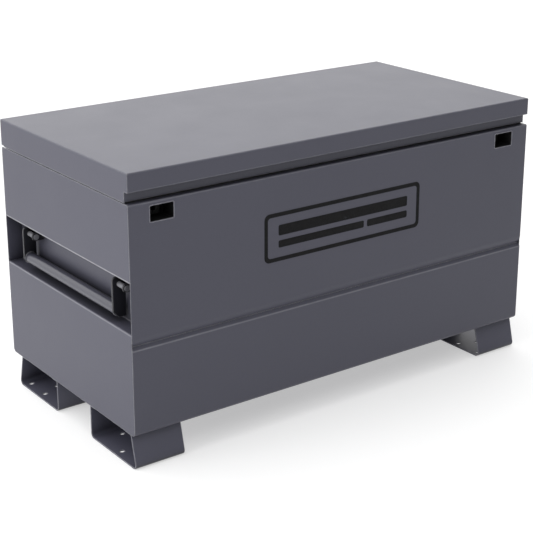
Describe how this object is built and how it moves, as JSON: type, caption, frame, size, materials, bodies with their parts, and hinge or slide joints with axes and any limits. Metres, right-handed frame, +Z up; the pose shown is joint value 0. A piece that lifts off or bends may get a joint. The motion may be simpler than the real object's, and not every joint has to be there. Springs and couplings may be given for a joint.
{
  "type": "job-site tool chest",
  "caption": "Painted steel tool chest on bolt-down feet, with a hinged lid on gas struts, lock pockets and a recessed drop handle in each end.",
  "frame": {"origin": "middle of the footprint, on the surface that the feet stand on", "axes": "+X along the front towards the right end, +Y from the front to the hinge, +Z up"},
  "size_m": [1.2192, 0.6096, 0.7049],
  "materials": {
    "body_paint": "satin slate-grey powder coat",
    "foot_paint": "satin slate-grey powder coat",
    "lid_paint": "satin slate-grey powder coat",
    "handle_paint": "satin slate-grey powder coat",
    "bracket_paint": "satin black powder coat",
    "lock_steel": "black oxide, matt",
    "zinc_plate": "dull zinc plate",
    "hinge_steel": "satin slate-grey powder coat over steel",
    "foam_seal": "closed-cell foam",
    "strut_paint": "gloss black enamel",
    "strut_chrome": "ground and hard chromed",
    "strut_plastic": "moulded, matt"
  },
  "bodies": {
    "chest": {"front_panel": "body_paint", "back_panel": "body_paint", "left_side_panel": "body_paint", "right_side_panel": "body_paint", "floor_panel": "body_paint", "left_rim_rail": "body_paint", "right_rim_rail": "body_paint", "rim_seal": "foam_seal", "front_left_foot": "foot_paint", "front_right_foot": "foot_paint", "back_left_foot": "foot_paint", "back_right_foot": "foot_paint", "left_lock_housing": "lock_steel", "right_lock_housing": "lock_steel", "lock_staples": "lock_steel", "hinge_body_leaf": "hinge_steel", "hinge_pin": "hinge_steel", "left_handle_lugs": "bracket_paint", "right_handle_lugs": "bracket_paint", "left_handle_pins": "zinc_plate", "right_handle_pins": "zinc_plate", "left_handle_spacers": "zinc_plate", "right_handle_spacers": "zinc_plate", "left_strut_body_bracket": "body_paint", "right_strut_body_bracket": "body_paint"},
    "lid": {"lid_skin": "lid_paint", "lid_stiffeners": "lid_paint", "left_hasp": "lock_steel", "right_hasp": "lock_steel", "hinge_lid_leaf": "hinge_steel", "left_strut_lid_bracket": "lid_paint", "right_strut_lid_bracket": "lid_paint"},
    "left_handle": {"left_handle_arms": "bracket_paint", "left_handle_grip": "handle_paint"},
    "left_cylinder": {"left_strut_cylinder": "strut_paint", "left_strut_gland": "strut_plastic", "left_strut_body_eye": "strut_plastic"},
    "left_piston_rod": {"left_strut_rod": "strut_chrome", "left_strut_piston": "zinc_plate", "left_strut_rod_eye": "strut_plastic"},
    "right_handle": {"right_handle_arms": "bracket_paint", "right_handle_grip": "handle_paint"},
    "right_cylinder": {"right_strut_cylinder": "strut_paint", "right_strut_gland": "strut_plastic", "right_strut_body_eye": "strut_plastic"},
    "right_piston_rod": {"right_strut_rod": "strut_chrome", "right_strut_piston": "zinc_plate", "right_strut_rod_eye": "strut_plastic"}
  },
  "joints": [
    {"name": "lid_hinge", "type": "hinge", "parent": "chest", "child": "lid", "pos_m": [0, 0.3005, 0.634], "axis": [-1, 0, 0], "range_deg": [0, 80]},
    {"name": "left_handle_hinge", "type": "hinge", "parent": "chest", "child": "left_handle", "pos_m": [-0.59, 0, 0.427], "axis": [0, 1, 0], "range_deg": [0, 100]},
    {"name": "left_cylinder_pivot", "type": "hinge", "parent": "chest", "child": "left_cylinder", "pos_m": [-0.575, 0.207, 0.47205], "axis": [-1, 0, 0], "range_deg": [0, 40]},
    {"name": "left_rod_pivot", "type": "hinge", "parent": "lid", "child": "left_piston_rod", "pos_m": [-0.575, 0.11905, 0.67924], "axis": [-1, 0, 0], "range_deg": [-40, 0]},
    {"name": "right_handle_hinge", "type": "hinge", "parent": "chest", "child": "right_handle", "pos_m": [0.59, 0, 0.427], "axis": [0, -1, 0], "range_deg": [0, 100]},
    {"name": "right_cylinder_pivot", "type": "hinge", "parent": "chest", "child": "right_cylinder", "pos_m": [0.575, 0.207, 0.47205], "axis": [-1, 0, 0], "range_deg": [0, 40]},
    {"name": "right_rod_pivot", "type": "hinge", "parent": "lid", "child": "right_piston_rod", "pos_m": [0.575, 0.11905, 0.67924], "axis": [-1, 0, 0], "range_deg": [-40, 0]}
  ],
  "couplings": [
    {"joint": "left_cylinder_pivot", "follows": "lid_hinge", "ratio": 0.5},
    {"joint": "left_rod_pivot", "follows": "lid_hinge", "ratio": -0.5},
    {"joint": "right_cylinder_pivot", "follows": "lid_hinge", "ratio": 0.5},
    {"joint": "right_rod_pivot", "follows": "lid_hinge", "ratio": -0.5}
  ]
}
